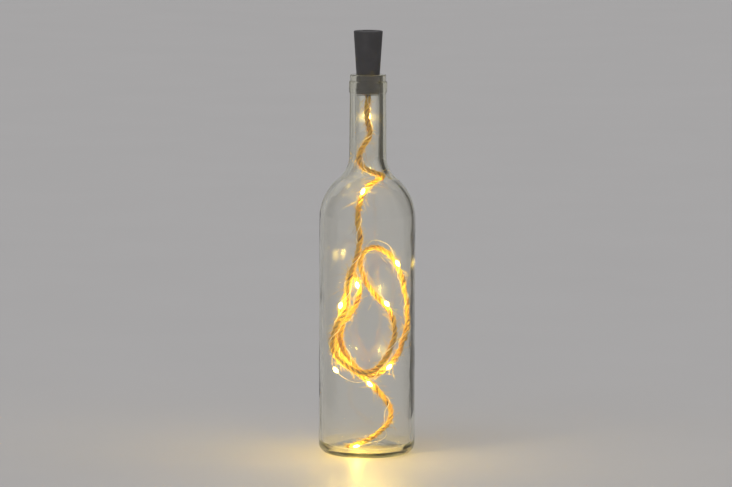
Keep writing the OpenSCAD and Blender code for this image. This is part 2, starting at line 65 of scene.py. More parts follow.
# Bodies of the frame that the pieces ride on
BOTTLE = "bottle"
CORE = "battery_core"

# Heights taken from the frame
MOUTH_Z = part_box("glass_bottle")[1].z
BODY_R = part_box("glass_bottle")[1].x
CORK_LOW_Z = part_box("cork_shell")[0].z

# The rope's route, from the cork down the neck, through the loops to its end
ROPE_START = [(0.0, 0.0, CORK_LOW_Z + 0.006), (0.0, 0.0, CORK_LOW_Z - 0.003)]
NECK_POINTS = [
    (-0.001, -0.0005, 0.271), (0.0, -0.002, 0.261), (0.0018, -0.001, 0.252),
    (-0.0015, 0.0015, 0.245), (-0.0055, 0.0025, 0.2385), (-0.0068, -0.001, 0.231),
    (-0.0025, -0.0065, 0.225), (0.0055, -0.007, 0.221), (0.0115, 0.0, 0.218),
    (0.006, 0.007, 0.2135), (-0.001, 0.0065, 0.208), (-0.005, 0.002, 0.2005),
    (-0.007, 0.0, 0.191), (-0.0075, -0.0015, 0.181), (-0.0055, -0.003, 0.171),
    (-0.007, -0.006, 0.1615), (-0.0095, -0.008, 0.152), (-0.0125, -0.01, 0.142),
    (-0.015, -0.012, 0.132), (-0.0155, -0.013, 0.122),
]
FRONT_LOOP_POINTS = [
    (-0.0175, -0.0145, 0.1125), (-0.022, -0.0165, 0.1045), (-0.0255, -0.017, 0.0955),
    (-0.0258, -0.017, 0.086), (-0.0225, -0.0175, 0.077), (-0.0145, -0.02, 0.071),
    (-0.0055, -0.0215, 0.067), (0.004, -0.022, 0.0675), (0.012, -0.0215, 0.074),
    (0.017, -0.02, 0.083), (0.0205, -0.018, 0.093), (0.021, -0.0155, 0.1035),
    (0.0175, -0.0125, 0.1135), (0.0105, -0.009, 0.1215), (0.0035, -0.0035, 0.129),
    (-0.002, 0.004, 0.137), (-0.0055, 0.008, 0.1465), (-0.0035, 0.0105, 0.156),
]
WIDE_LOOP_POINTS = [
    (0.0045, 0.0135, 0.1605), (0.0135, 0.0155, 0.158), (0.021, 0.015, 0.1515),
    (0.026, 0.0125, 0.1425), (0.029, 0.009, 0.133), (0.031, 0.0055, 0.123),
    (0.032, 0.002, 0.1125), (0.0315, -0.002, 0.1025), (0.029, -0.005, 0.0925),
    (0.0255, -0.0075, 0.0825), (0.02, -0.0095, 0.0735), (0.0125, -0.0115, 0.0665),
    (0.0035, -0.0125, 0.063), (-0.005, -0.0135, 0.066), (-0.012, -0.014, 0.0735),
    (-0.0175, -0.013, 0.082), (-0.0205, -0.0115, 0.0915), (-0.019, -0.009, 0.1015),
    (-0.0135, -0.0065, 0.11), (-0.0085, -0.0055, 0.1185), (-0.006, -0.0055, 0.128),
    (-0.008, -0.0035, 0.137),
]
BACK_LOOP_POINTS = [
    (-0.0125, 0.0035, 0.142), (-0.015, 0.012, 0.1385), (-0.016, 0.0165, 0.13),
    (-0.018, 0.017, 0.12), (-0.0205, 0.0155, 0.11), (-0.023, 0.012, 0.1005),
    (-0.024, 0.008, 0.091), (-0.0225, 0.005, 0.081), (-0.0175, 0.0025, 0.072),
]
TAIL_POINTS = [
    (-0.01, 0.0005, 0.065), (-0.0015, -0.0015, 0.059), (0.006, -0.001, 0.052),
    (0.013, 0.001, 0.044), (0.0185, 0.001, 0.035), (0.018, -0.004, 0.026),
    (0.012, -0.01, 0.02), (0.005, -0.0155, 0.015), (-0.005, -0.021, 0.0105),
    (-0.0145, -0.025, 0.0078),
]
ROUTE = np.array(
    ROPE_START + NECK_POINTS + FRONT_LOOP_POINTS + WIDE_LOOP_POINTS + BACK_LOOP_POINTS
    + TAIL_POINTS
)

# Where the wire is held at the rope's side: the stretch of the route, the side that it
# faces there, how far it stands off, and whether a light is there or a loose loop
STOPS = [
    (2, (0.3, 1, 0), 0, True), (12, (-0.3, -1, 0.2), 0, True),
    (21, (-1, -0.3, -0.2), 0, True), (25, (-0.8, 1, 0), 0, False),
    (26, (-1, 0.1, -0.4), 0.003, True), (27, (-0.5, -0.4, -1), 0.007, False),
    (28, (0.2, -0.5, -1), 0.003, False), (34, (0.4, -1, 0.6), 0, True),
    (40, (0.1, 0, 1), 0.004, False), (42, (0, -1, 0.7), 0.0005, True),
    (50, (-0.1, -1, -0.3), 0, True), (60, (-0.1, -1, -0.2), 0, True),
    (72, (-0.2, -1, 0.1), 0, True), (75, (-1, -0.2, -0.2), 0.0025, False),
    (77, (0.8, -0.3, -0.8), 0.0035, False), (78, (0.3, -1, -0.6), 0.0005, False),
    (79, (-0.5, -0.9, -0.3), 0.0002, True),
]
LIGHTS = [stop for stop in STOPS if stop[3]]
LIGHT_NAMES = [f"light_drop_{k + 1:02d}" for k in range(len(LIGHTS))]
CHIP_NAMES = [f"light_chip_{k + 1:02d}" for k in range(len(LIGHTS))]


def colour_setting(name, description, default):
    return FloatVectorProperty(
        name=name, description=description, default=default, subtype="COLOR", size=3,
    )


def length_setting(name, description, default):
    return FloatProperty(name=name, description=description, default=default, unit="LENGTH")


class GlassSettings(bpy.types.PropertyGroup):
    """Sizes and colours of the bottle."""

    height: length_setting("Height", "From the table to the mouth", MOUTH_Z)
    body_radius: length_setting("Body radius", "Outer radius of the straight body", BODY_R)
    wall: length_setting("Wall", "Thickness of the body's wall", 0.003)
    facets: IntProperty(
        name="Facets", description="Faces round the bottle", default=256, min=64,
    )
    tint: colour_setting("Tint", "Colour that thick glass takes on", (0.68, 0.64, 0.20))
    tint_density: FloatProperty(
        name="Tint density", description="How fast thick glass takes on its colour",
        default=25.0,
    )


class RopeSettings(bpy.types.PropertyGroup):
    """Sizes and colours of the jute rope."""

    diameter: length_setting("Diameter", "Across the three strands", 0.0042)
    lay: length_setting("Lay", "Length of one turn of a strand", 0.0135)
    fibres: IntProperty(
        name="Loose fibres", description="Number of fibres that stand off the rope",
        default=3000, min=0,
    )
    seed: IntProperty(
        name="Seed", description="Start of the random fibres", default=7,
    )
    pale: colour_setting("Pale jute", "Colour of the lighter fibres", (0.90, 0.59, 0.075))
    dark: colour_setting("Dark jute", "Colour of the darker fibres", (0.52, 0.27, 0.035))
    # Painted shade: this dark colour is laid in the grooves between the strands, where shade falls
    groove_shade: colour_setting(
        "Groove shade", "Painted shade in the grooves between the strands", (0.18, 0.075, 0.01),
    )


class WireSettings(bpy.types.PropertyGroup):
    """Sizes and colours of the wire and its lights."""

    diameter: length_setting("Diameter", "Across the two cores of the wire", 0.0006)
    twist: length_setting("Twist", "Length of one turn of the two cores", 0.009)
    metal: colour_setting("Metal", "Colour of the wire", (1.0, 0.92, 0.72))
    glow: colour_setting("Glow", "Colour of the light", (1.0, 0.72, 0.14))
    glow_strength: FloatProperty(
        name="Glow strength", description="How strongly a drop shines", default=720.0,
    )
    last_share: FloatProperty(
        name="Last light", description="Share of that strength for the light at the floor",
        default=0.3, min=0.0, max=1.0,
    )


class CorkSettings(bpy.types.PropertyGroup):
    """Colours of the plastic cork and its case."""

    shell: colour_setting("Shell", "Colour of the cork's matt plastic", (0.040, 0.038, 0.040))
    case: colour_setting("Case", "Colour of the battery case", (0.012, 0.012, 0.013))


class StageSettings(bpy.types.PropertyGroup):
    """The floor, the lamps and the camera."""

    floor: colour_setting("Floor", "Colour of the floor", (0.44, 0.43, 0.43))
    backdrop: colour_setting(
        "Backdrop", "Colour of the room behind the bottle", (0.44, 0.435, 0.44),
    )
    room_light: FloatProperty(
        name="Room light", description="How strongly the room lights the bottle", default=0.55,
    )
    screen_level: FloatProperty(
        name="Screen level", description="Brightness of the screens that the glass shows",
        default=0.72,
    )
    dark_level: FloatProperty(
        name="Dark screen level", description="Brightness of the wide dark screen on the right",
        default=0.2,
    )
    left_level: FloatProperty(
        name="Left screen level", description="Brightness of the narrow screen on the left",
        default=0.4,
    )
    camera_distance: length_setting(
        "Camera distance", "From the bottle's middle line to the lens", 3.5,
    )
    camera_height: length_setting("Camera height", "Height of the lens above the table", 0.577)
    camera_pitch: FloatProperty(
        name="Camera pitch", description="How far the camera looks down",
        default=math.radians(6.71), subtype="ANGLE",
    )
    camera_roll: FloatProperty(
        name="Camera roll", description="How far the picture is turned",
        default=math.radians(0.23), subtype="ANGLE",
    )
    camera_lens: FloatProperty(
        name="Lens", description="Focal length on a sensor 36 mm wide, in millimetres",
        default=221.5,
    )


def unit(v):
    return v / np.linalg.norm(v)


def central(points):
    """Unit directions along a path, from each point's neighbours."""
    ahead = np.vstack([points[1:], points[-1:]])
    behind = np.vstack([points[:1], points[:-1]])
    step = ahead - behind
    return step / np.linalg.norm(step, axis=1)[:, None]


def carried(directions, first):
    """Sideways directions that follow a path without twisting round it."""
    sides = np.empty_like(directions)
    side = np.asarray(first, float)
    for i, t in enumerate(directions):
        side = unit(side - (side @ t) * t)
        sides[i] = side
    return sides


def lengths(points):
    """Distance along a path to each of its points."""
    return np.concatenate([[0], np.cumsum(np.linalg.norm(np.diff(points, axis=0), axis=1))])


def smooth_path(points, step):
    """Evenly spaced points on a smooth curve through the given ones."""
    p = np.asarray(points, float)
    held = np.vstack([2 * p[0] - p[1], p, 2 * p[-1] - p[-2]])
    parts = 16
    t = np.linspace(0, 1, parts, endpoint=False)[:, None]
    fine = []
    for i in range(len(p) - 1):
        a, b, c, d = held[i:i + 4]
        fine.append(
            b + 0.5 * (c - a) * t + (a - 2.5 * b + 2 * c - 0.5 * d) * t**2
            + (1.5 * (b - c) + 0.5 * (d - a)) * t**3
        )
    fine = np.vstack(fine + [p[-1:]])
    run = lengths(fine)
    at = np.linspace(0, run[-1], int(round(run[-1] / step)) + 1)
    return np.column_stack([np.interp(at, run, fine[:, k]) for k in range(3)])


def eased(path, share, passes):
    """The same path with its corners rounded off, as far as each point's share allows."""
    path = path.copy()
    for _ in range(passes):
        middle = (path[:-2] + path[2:]) / 2
        path[1:-1] += 0.5 * share[1:-1, None] * (middle - path[1:-1])
    return path


def tube_mesh(path, radius, sides, first=None):
    """Points and faces of a closed tube. Its radius is one number, or one a ring or a point."""
    directions = central(path)
    if first is None:
        # Aslant, so that no upright path runs along it
        first = np.cross(directions[0], UP + 0.1)
    u = carried(directions, first)
    v = np.cross(directions, u)
    turn = 2 * np.pi * np.arange(sides) / sides
    r = np.asarray(radius, float)
    if r.ndim < 2:
        r = np.broadcast_to(r, (len(path),))[:, None]
    rings = (
        path[:, None, :]
        + (r * np.cos(turn))[:, :, None] * u[:, None, :]
        + (r * np.sin(turn))[:, :, None] * v[:, None, :]
    )
    points = rings.reshape(-1, 3)
    faces = []
    for i in range(len(path) - 1):
        for k in range(sides):
            m = (k + 1) % sides
            a, b = i * sides + k, i * sides + m
            faces.append((a, b, b + sides, a + sides))
    faces.append(tuple(range(sides))[::-1])
    last = (len(path) - 1) * sides
    faces.append(tuple(range(last, last + sides)))
    return points, faces


def joined(parts):
    """Points and faces of several meshes put together."""
    points, faces, first = [], [], 0
    for p, f in parts:
        points.append(p)
        faces.extend(tuple(i + first for i in face) for face in f)
        first += len(p)
    return np.vstack(points), faces


def new_piece(name, points, faces, material, attributes=None):
    """A smooth mesh object with a material and float attributes on its points."""
    mesh = bpy.data.meshes.new(name)
    mesh.from_pydata(np.asarray(points).tolist(), [], faces)
    mesh.polygons.foreach_set("use_smooth", [True] * len(mesh.polygons))
    for key, values in (attributes or {}).items():
        held = mesh.attributes.new(key, "FLOAT", "POINT")
        held.data.foreach_set("value", np.asarray(values, np.float32))
    mesh.update()
    piece = bpy.data.objects.new(name, mesh)
    bpy.context.scene.collection.objects.link(piece)
    mesh.materials.append(material)
    return piece


def lathe(outline, facets):
    """Points and faces of a closed outline of (radius, height) turned round the Z axis."""
    turn = 2 * np.pi * np.arange(facets) / facets
    on_axis = 1e-7
    points, rows = [], []
    for r, z in outline:
        if r < on_axis:
            rows.append([len(points)] * facets)
            points.append((0.0, 0.0, z))
        else:
            rows.append(list(range(len(points), len(points) + facets)))
            points.extend((r * math.cos(a), r * math.sin(a), z) for a in turn)
    faces = []
    for low, high in zip(rows, rows[1:]):
        for k in range(facets):
            m = (k + 1) % facets
            face = list(dict.fromkeys([low[k], low[m], high[m], high[k]]))
            if len(face) > 2:
                faces.append(tuple(face))
    return np.array(points), faces


def arc(centre, radius, start, end, step=3.0):
    """Points on an arc from one angle to another, in degrees."""
    n = max(2, math.ceil(abs(end - start) / step))
    angles = np.radians(np.linspace(start, end, n + 1))
    return [(centre[0] + radius * math.cos(a), centre[1] + radius * math.sin(a)) for a in angles]


# The outline of the bottle, after the part's own sizes
BODY_TOP_Z = 0.185
SHOULDER_R = 0.041
NECK_BLEND_R = 0.022
INNER_BLEND_R = NECK_BLEND_R + 0.003
NECK_LOW_R = 0.0146
NECK_TOP_R = 0.01415
NECK_BORE_R = 0.0095
MOUTH_BORE_R = 0.0093
LIP_R = 0.0141
LIP_H = 0.0052
BAND_R = 0.01485
BAND_H = 0.0094
RIM_R = 0.001
HEEL_R = 0.008
HEEL_INNER_R = 0.006
FOOT_W = 0.001
FLOOR_EDGE_Z = 0.005
PUNT_H = 0.007
BASE_T = 0.004

# Small steps: where the neck ends under the band, the band's foot, the lip's and the bore's
NECK_END_H = 0.0006
BAND_FOOT_H = 0.0002
BAND_FOOT_W = 0.0001
LIP_FOOT_H = 0.0004
BORE_STEP_H = 0.002

# How far loose fibres may reach from the middle line, by height
FIBRE_REACH = np.array([
    (FLOOR_EDGE_Z, BODY_R - 0.003 - HEEL_INNER_R), (0.012, BODY_R - 0.0034),
    (BODY_TOP_Z, BODY_R - 0.0034), (0.2, 0.0315), (0.212, 0.0245), (0.222, 0.0165),
    (0.232, 0.0105), (0.24, 0.0092), (MOUTH_Z, 0.0086),
])
FIBRE_FLOOR_R = BODY_R - 0.009
FIBRE_ROOM = 0.0003


def shoulder(body_r, round_r, neck_r, hollow_r):
    """The shoulder's arc and the hollow arc that leads into the neck."""
    c1 = (body_r - round_r, BODY_TOP_Z)
    across = neck_r + hollow_r - c1[0]
    both = round_r + hollow_r
    c2 = (neck_r + hollow_r, BODY_TOP_Z + math.sqrt(both * both - across * across))
    turn = math.degrees(math.acos(across / both))
    return arc(c1, round_r, 0, turn, 1.5) + arc(c2, hollow_r, 180 + turn, 180, 1.5)[1:]


def dome(radius, low_z, rise):
    """A dome over the base, from its edge to its middle."""
    big = (radius * radius + rise * rise) / (2 * rise)
    half = math.asin(radius / big)
    return [
        (big * math.sin(a), low_z + rise - big + big * math.cos(a))
        for a in np.linspace(half, 0, 15)
    ]


def bottle_outline(glass):
    """The closed outline of the glass, from the middle of the hollow round to the inner floor."""
    body_r = glass.body_radius
    inner_r = body_r - glass.wall
    band_low_z = glass.height - LIP_H - BAND_H
    band_high_z = glass.height - LIP_H
    foot_r = body_r - HEEL_R
    hollow_edge_r = foot_r - FOOT_W
    floor_r = inner_r - HEEL_INNER_R
    outer = (
        dome(hollow_edge_r, 0.0, PUNT_H)[::-1]
        + arc((foot_r, HEEL_R), HEEL_R, -90, 0)
        + shoulder(body_r, SHOULDER_R, NECK_LOW_R, NECK_BLEND_R)
        + [(NECK_TOP_R, band_low_z - NECK_END_H)]
        + [(NECK_TOP_R + BAND_FOOT_W, band_low_z - BAND_FOOT_H)]
        + arc((BAND_R - RIM_R, band_low_z + RIM_R), RIM_R, -90, 0, 15)
        + arc((BAND_R - RIM_R, band_high_z - RIM_R), RIM_R, 0, 80, 15)
        + [(LIP_R, band_high_z + LIP_FOOT_H)]
        + arc((LIP_R - RIM_R, glass.height - RIM_R), RIM_R, 0, 90, 15)
    )
    inner = (
        arc((floor_r, FLOOR_EDGE_Z + HEEL_INNER_R), HEEL_INNER_R, -90, 0)
        + shoulder(inner_r, SHOULDER_R - glass.wall, NECK_BORE_R, INNER_BLEND_R)
        + [(NECK_BORE_R, band_low_z - BORE_STEP_H), (MOUTH_BORE_R, band_low_z)]
        + arc((MOUTH_BORE_R + RIM_R, glass.height - RIM_R), RIM_R, 180, 90, 15)
    )
    floor = dome(floor_r, FLOOR_EDGE_Z, PUNT_H + BASE_T - FLOOR_EDGE_Z)
    return outer + inner[::-1] + floor[1:]


def inner_radius(z):
    """How far a loose fibre may reach from the middle line at a height."""
    return np.interp(z, FIBRE_REACH[:, 0], FIBRE_REACH[:, 1])


# Distances of the wire and the lights from the rope's middle line
ROPE_R = 0.0021
WIRE_R = 0.0003
WIRE_GAP = 0.0005
WIRE_PITCH = 0.030
DROP_D = 0.003
DROP_L = 0.0052
WIRE_OFF = ROPE_R + WIRE_GAP + WIRE_R
LIGHT_OFF = ROPE_R + DROP_D / 2 + WIRE_GAP
WIRE_TOP_Z = CORK_LOW_Z + 0.0076
DROP_FROM = 0.2
DROP_TO = 0.8
LIFT = 0.006
LIFT_SHARE = 1.5

ROUTE_T = central(ROUTE)
ROUTE_U = carried(ROUTE_T, (0, -1, 0))
REACH = lengths(ROUTE)


def at(i, f):
    """Distance along the route to fraction f of stretch i."""
    j = min(i + 1, len(ROUTE) - 1)
    return REACH[i] + (REACH[j] - REACH[i]) * f


def beside(i, f, angle, distance):
    """A point beside the rope: fraction f of stretch i, at an angle and a distance."""
    ends = []
    for n in (i, min(i + 1, len(ROUTE) - 1)):
        a = math.radians(angle)
        out = math.cos(a) * ROUTE_U[n] + math.sin(a) * np.cross(ROUTE_T[n], ROUTE_U[n])
        ends.append(ROUTE[n] + distance * out)
    return ends[0] + (ends[1] - ends[0]) * f


def side_angle(stretch, facing):
    """The angle at which a stop's side lies round the rope."""
    u = unit((ROUTE_U[stretch] + ROUTE_U[stretch + 1]) / 2)
    v = np.cross(unit(ROUTE[stretch + 1] - ROUTE[stretch]), u)
    return math.degrees(math.atan2(np.dot(facing, v), np.dot(facing, u)))


def wire_distance(s):
    """Distance of the wire from the rope's middle line, at distance s along the route."""
    most = 0
    for stretch, _, off, light in STOPS:
        standing = off + (LIGHT_OFF - WIRE_OFF if light else 0)
        away = max(at(stretch, DROP_FROM) - s, s - at(stretch, DROP_TO), 0)
        part = min(1, away / (LIFT + LIFT_SHARE * off))
        most = max(most, standing * (1 + math.cos(math.pi * part)) / 2)
    return WIRE_OFF + most


def wire_route():
    """The wire's points, wound by whole turns from stop to stop, and each light's two ends."""
    angles = [side_angle(*STOPS[0][:2])]
    for before, after in zip(STOPS, STOPS[1:]):
        gap = at(after[0], 0) - at(before[0], 0)
        raw = side_angle(*after[:2]) - angles[-1]
        turns = math.floor(gap / WIRE_PITCH - raw / 360 + 0.5)
        angles.append(angles[-1] + raw + 360 * turns)
    angle_run, angle_table = [0, at(1, 0.5)], [0, 0]
    for stop, angle in zip(STOPS, angles):
        angle_run += [at(stop[0], DROP_FROM), at(stop[0], DROP_TO)]
        angle_table += [angle, angle]
    points = [np.array([0, -WIRE_OFF, WIRE_TOP_Z])]
    held = {stop[0] for stop in STOPS}
    last = STOPS[-1][0]
    for i in range(last + 1):
        for f in (0, DROP_FROM, DROP_TO) if i in held else (0, 1 / 3, 2 / 3):
            s = at(i, f)
            points.append(beside(i, f, np.interp(s, angle_run, angle_table), wire_distance(s)))
    points.append(beside(last, 1, angles[-1], LIGHT_OFF))
    points = np.array(points)
    ends = [(points[2 + 3 * light[0]], points[3 + 3 * light[0]]) for light in LIGHTS]
    return points, ends


class Nodes:
    """Short ways to add nodes to a node tree."""

    def __init__(self, tree):
        self.tree = tree

    def feed(self, socket, value):
        if isinstance(value, bpy.types.NodeSocket):
            self.tree.links.new(value, socket)
        else:
            socket.default_value = value

    def node(self, kind, **inputs):
        made = self.tree.nodes.new("ShaderNode" + kind)
        for key, value in inputs.items():
            self.feed(made.inputs[key.replace("_", " ")], value)
        return made

    def place(self):
        return self.node("TexCoord").outputs["Object"]

    def stretched(self, place, scale):
        return self.node("Mapping", Vector=place, Scale=scale).outputs["Vector"]

    def held(self, name):
        """A number that the mesh holds at each of its points."""
        made = self.node("Attribute")
        made.attribute_name = name
        return made.outputs["Fac"]

    def noise(self, place, scale, detail=2.0):
        return self.node("TexNoise", Vector=place, Scale=scale, Detail=detail).outputs["Fac"]

    def maths(self, operation, *values):
        made = self.node("Math")
        made.operation = operation
        for socket, value in zip(made.inputs, values):
            self.feed(socket, value)
        return made.outputs[0]

    def ranged(self, value, low, high, to_low=0.0, to_high=1.0, soft=False):
        """A value carried from one range to another, in a straight line or softly."""
        made = self.node(
            "MapRange", Value=value, From_Min=low, From_Max=high, To_Min=to_low, To_Max=to_high,
        )
        made.interpolation_type = "SMOOTHSTEP" if soft else "LINEAR"
        return made.outputs["Result"]

    def blended(self, share, first, second):
        """A colour between two others."""
        return self.node("MixRGB", Fac=share, Color1=first, Color2=second).outputs["Color"]

    def either(self, share, first, second):
        """A shader between two others."""
        made = self.node("MixShader", Fac=share)
        self.feed(made.inputs[1], first)
        self.feed(made.inputs[2], second)
        return made.outputs["Shader"]


class Shader(Nodes):
    """A material being made, with its Principled BSDF. Plain values go to sockets by name."""

    def __init__(self, name, colour, roughness, metallic=0.0, **plain):
        self.material = bpy.data.materials.new(name)
        self.material.use_nodes = True
        super().__init__(self.material.node_tree)
        self.bsdf = next(n for n in self.tree.nodes if n.type == "BSDF_PRINCIPLED")
        self.output = next(n for n in self.tree.nodes if n.type == "OUTPUT_MATERIAL")
        plain.update(Base_Color=(*colour, 1), Roughness=roughness, Metallic=metallic)
        for key, value in plain.items():
            self.bsdf.inputs[key.replace("_", " ")].default_value = value

    def colour(self, value):
        self.feed(self.bsdf.inputs["Base Color"], value)

    def bump(self, height, strength, distance):
        made = self.node("Bump", Height=height, Strength=strength, Distance=distance)
        self.feed(self.bsdf.inputs["Normal"], made.outputs["Normal"])

    def finish(self, tree, strength, distance, **inputs):
        """Lays a group's colour, roughness and height over the surface."""
        made = self.node("Group")
        made.node_tree = tree
        for key, value in inputs.items():
            self.feed(made.inputs[key.replace("_", " ")], value)
        self.colour(made.outputs["Colour"])
        self.feed(self.bsdf.inputs["Roughness"], made.outputs["Roughness"])
        self.bump(made.outputs["Height"], strength, distance)

    def mix_in(self, share, other):
        """Gives way to another shader, by a share."""
        mix = self.either(share, self.bsdf.outputs["BSDF"], other.outputs["BSDF"])
        self.feed(self.output.inputs["Surface"], mix)


def new_group(name, inputs):
    """A node group with named inputs that puts out colour, roughness and height."""
    tree = bpy.data.node_groups.new(name, "ShaderNodeTree")
    colour, number = "NodeSocketColor", "NodeSocketFloat"
    for label, value in inputs.items():
        kind = colour if isinstance(value, tuple) else number
        socket = tree.interface.new_socket(name=label, in_out="INPUT", socket_type=kind)
        socket.default_value = value
    for label, kind in (("Colour", colour), ("Roughness", number), ("Height", number)):
        tree.interface.new_socket(name=label, in_out="OUTPUT", socket_type=kind)
    given = tree.nodes.new("NodeGroupInput").outputs
    return Nodes(tree), given, tree.nodes.new("NodeGroupOutput").inputs


def grain_group():
    """Fine grain and soft patches for moulded plastic, rubber and board lacquer."""
    if "Moulded Grain" in bpy.data.node_groups:
        return bpy.data.node_groups["Moulded Grain"]
    made, given, out = new_group("Moulded Grain", {
        "Colour": (0.1, 0.1, 0.1, 1), "Worn Colour": (0.2, 0.2, 0.2, 1), "Roughness": 0.5,
        "Grain Scale": 3000.0, "Patch Scale": 60.0, "Wear": 0.3,
    })
    place = made.place()
    grain = made.noise(place, given["Grain Scale"], detail=4)
    patch = made.noise(place, given["Patch Scale"], detail=4)
    worn = made.maths("MULTIPLY", made.ranged(patch, 0.42, 0.72), given["Wear"])
    # A worn patch is smoother
    smoother = -0.25
    made.feed(out["Colour"], made.blended(worn, given["Colour"], given["Worn Colour"]))
    made.feed(out["Roughness"], made.maths("MULTIPLY_ADD", worn, smoother, given["Roughness"]))
    made.feed(out["Height"], grain)
    return made.tree


def brushing_group():
    """Fine drawn lines and faint tarnish for metal pieces."""
    if "Drawn Metal" in bpy.data.node_groups:
        return bpy.data.node_groups["Drawn Metal"]
    made, given, out = new_group("Drawn Metal", {
        "Colour": (0.7, 0.7, 0.7, 1), "Tarnish": (0.4, 0.36, 0.3, 1), "Roughness": 0.3,
        "Line Scale": 2500.0, "Tarnish Amount": 0.4,
    })
    place = made.place()
    lines = made.noise(made.stretched(place, (0.15, 0.15, 1.0)), given["Line Scale"], detail=3)
    cloud = made.noise(place, scale=180)
    amount = made.maths("MULTIPLY", cloud, given["Tarnish Amount"])
    # The lines are rougher than the metal between them
    rougher = 0.22
    made.feed(out["Colour"], made.blended(amount, given["Colour"], given["Tarnish"]))
    made.feed(out["Roughness"], made.maths("MULTIPLY_ADD", lines, rougher, given["Roughness"]))
    made.feed(out["Height"], lines)
    return made.tree


def moulded(name, colour, worn, roughness, wear=0.3):
    """Moulded plastic or rubber."""
    made = Shader(name, colour, roughness)
    made.finish(
        grain_group(), strength=0.5, distance=0.00002, Colour=(*colour, 1),
        Worn_Colour=(*worn, 1), Roughness=roughness, Grain_Scale=3000.0, Patch_Scale=90.0,
        Wear=wear,
    )
    return made.material


def drawn_metal(name, colour, tarnish, roughness, amount=0.4, shine=1.0):
    """Plated or drawn metal. A lacquered one has less shine."""
    made = Shader(name, colour, roughness, metallic=shine)
    made.finish(
        brushing_group(), strength=0.25, distance=0.00001, Colour=(*colour, 1),
        Tarnish=(*tarnish, 1), Roughness=roughness, Line_Scale=2500.0, Tarnish_Amount=amount,
    )
    return made.material


def clear_glass(glass):
    """Bottle glass: clear and smooth, a little green where it is thick, and open to lamps."""
    # The coat is a thin film of dust, which spreads the lights' reflections
    made = Shader(
        "Bottle Glass", (1, 1, 1), 0.0, IOR=1.5, Transmission_Weight=1.0, Coat_Weight=0.3,
        Coat_Roughness=0.15,
    )
    # Blown glass has soft ribs that run up the bottle
    ribs = made.noise(made.stretched(made.place(), (1.0, 1.0, 0.35)), scale=95.0, detail=1.0)
    made.bump(ribs, strength=0.55, distance=0.0006)
    rays = made.node("LightPath").outputs
    passes = made.maths("MAXIMUM", rays["Is Shadow Ray"], rays["Is Diffuse Ray"])
    # Light that is caught in thick glass gets out again, so that no corner turns black
    most_turns = 5.5
    caught = made.maths("GREATER_THAN", rays["Ray Depth"], most_turns)
    open_glass = made.node("BsdfTransparent", Color=(0.93, 0.91, 0.86, 1))
    made.mix_in(made.maths("MAXIMUM", passes, caught), open_glass)
    tint = made.node("VolumeAbsorption", Color=(*glass.tint, 1), Density=glass.tint_density)
    made.feed(made.output.inputs["Volume"], tint.outputs["Volume"])
    return made.material


def jute(rope, name, loose=False):
    """Jute fibre: streaks along the strands, pale and dark tufts, and a dry surface; on the rope,
    painted shade darkens the grooves between the strands.
    """
    # Light gets through the loose fibres from behind
    made = Shader(
        name, rope.pale, 0.85, Sheen_Weight=0.25, Sheen_Roughness=0.5, Subsurface_Weight=0.4,
        Subsurface_Radius=(1.0, 0.6, 0.2), Subsurface_Scale=0.0015,
    )
    streaks_a_metre = 160.0
    along = made.maths("MULTIPLY", made.held("run"), streaks_a_metre)
    unrolled = made.node("CombineXYZ", X=along, Y=made.held("turn")).outputs["Vector"]
    streaks = made.noise(unrolled, scale=3.0, detail=5.0)
    tufts = made.noise(made.place(), scale=130.0, detail=3.0)
    tuft_share = 0.6
    both = made.maths("MULTIPLY_ADD", tufts, tuft_share, streaks)
    fibres = made.blended(made.ranged(both, 0.62, 1.0), (*rope.dark, 1), (*rope.pale, 1))
    if loose:
        made.colour(fibres)
        return made.material
    # Painted shade: the grooves between the strands take the dark groove colour, which fades into
    # the fibres towards the crowns
    made.colour(made.blended(made.held("top"), (*rope.groove_shade, 1), fibres))
    made.bump(streaks, strength=0.8, distance=0.0003)
    return made.material


def glowing(name, colour, roughness, wire, share=1.0):
    """Resin or a chip, lit from inside."""
    made = Shader(
        name, colour, roughness, Emission_Color=(*wire.glow, 1),
        Emission_Strength=wire.glow_strength * share,
    )
    return made.material


def paint(nodes, material):
    """Gives CAD nodes that stay in view a material."""
    for name in nodes:
        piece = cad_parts[name]
        piece.data.materials.clear()
        piece.data.materials.append(material)


class BOTTLELIGHT_OT_camera(bpy.types.Operator):
    """Set the camera at the photograph's viewing angle"""

    bl_idname = "bottlelight.camera"
    bl_label = "Camera"

    def execute(self, context):
        stage = context.scene.bottlelight_stage
        data = bpy.data.cameras.new("Camera")
        data.lens = stage.camera_lens
        data.sensor_width = 36.0
        data.sensor_fit = "HORIZONTAL"
        data.clip_end = 60.0
        camera = bpy.data.objects.new("Camera", data)
        look = Matrix.Rotation(math.pi / 2 - stage.camera_pitch, 4, "X")
        turn = Matrix.Rotation(stage.camera_roll, 4, "Z")
        # The bottle stands a little right of the picture's middle
        aside = -0.0011
        place = Matrix.Translation((aside, -stage.camera_distance, stage.camera_height))
        camera.matrix_world = place @ look @ turn
        context.scene.collection.objects.link(camera)
        context.scene.camera = camera
        return {"FINISHED"}


# The rope's make-up: shares of its diameter for a strand's radius and its distance from the middle,
# and for the heights where the grooves begin and the crowns end, between which the painted groove
# shade fades out
ROPE_STEP = 0.0007
STRANDS = 3
STRAND_SIDES = 16
STRAND_R = 0.24
STRAND_OFF = 0.262
GROOVE_R = 0.27
CROWN_R = 0.43
YARNS = 5
YARN_TURN = 0.0042
YARN_RIDGE = 0.07
UNEVEN = 0.05
PATTERN_SHIFT = 0.37

# Random changes along the rope: the span between knots, and the amount
THICKNESS_WANDER = (0.02, 0.07)
ANGLE_WANDER = (0.03, 0.25)
DISTANCE_WANDER = (0.012, 0.10)

# Loose fibres: those at the cut end, where they begin, and their rings and sides
CUT_FIBRES = 90
CUT_ROWS = 6
FIBRE_LOW = 12
FIBRE_RINGS = 5
FIBRE_SIDES = 3
FIBRE_TAPER = np.array([1, 1, 0.9, 0.75, 0.4])


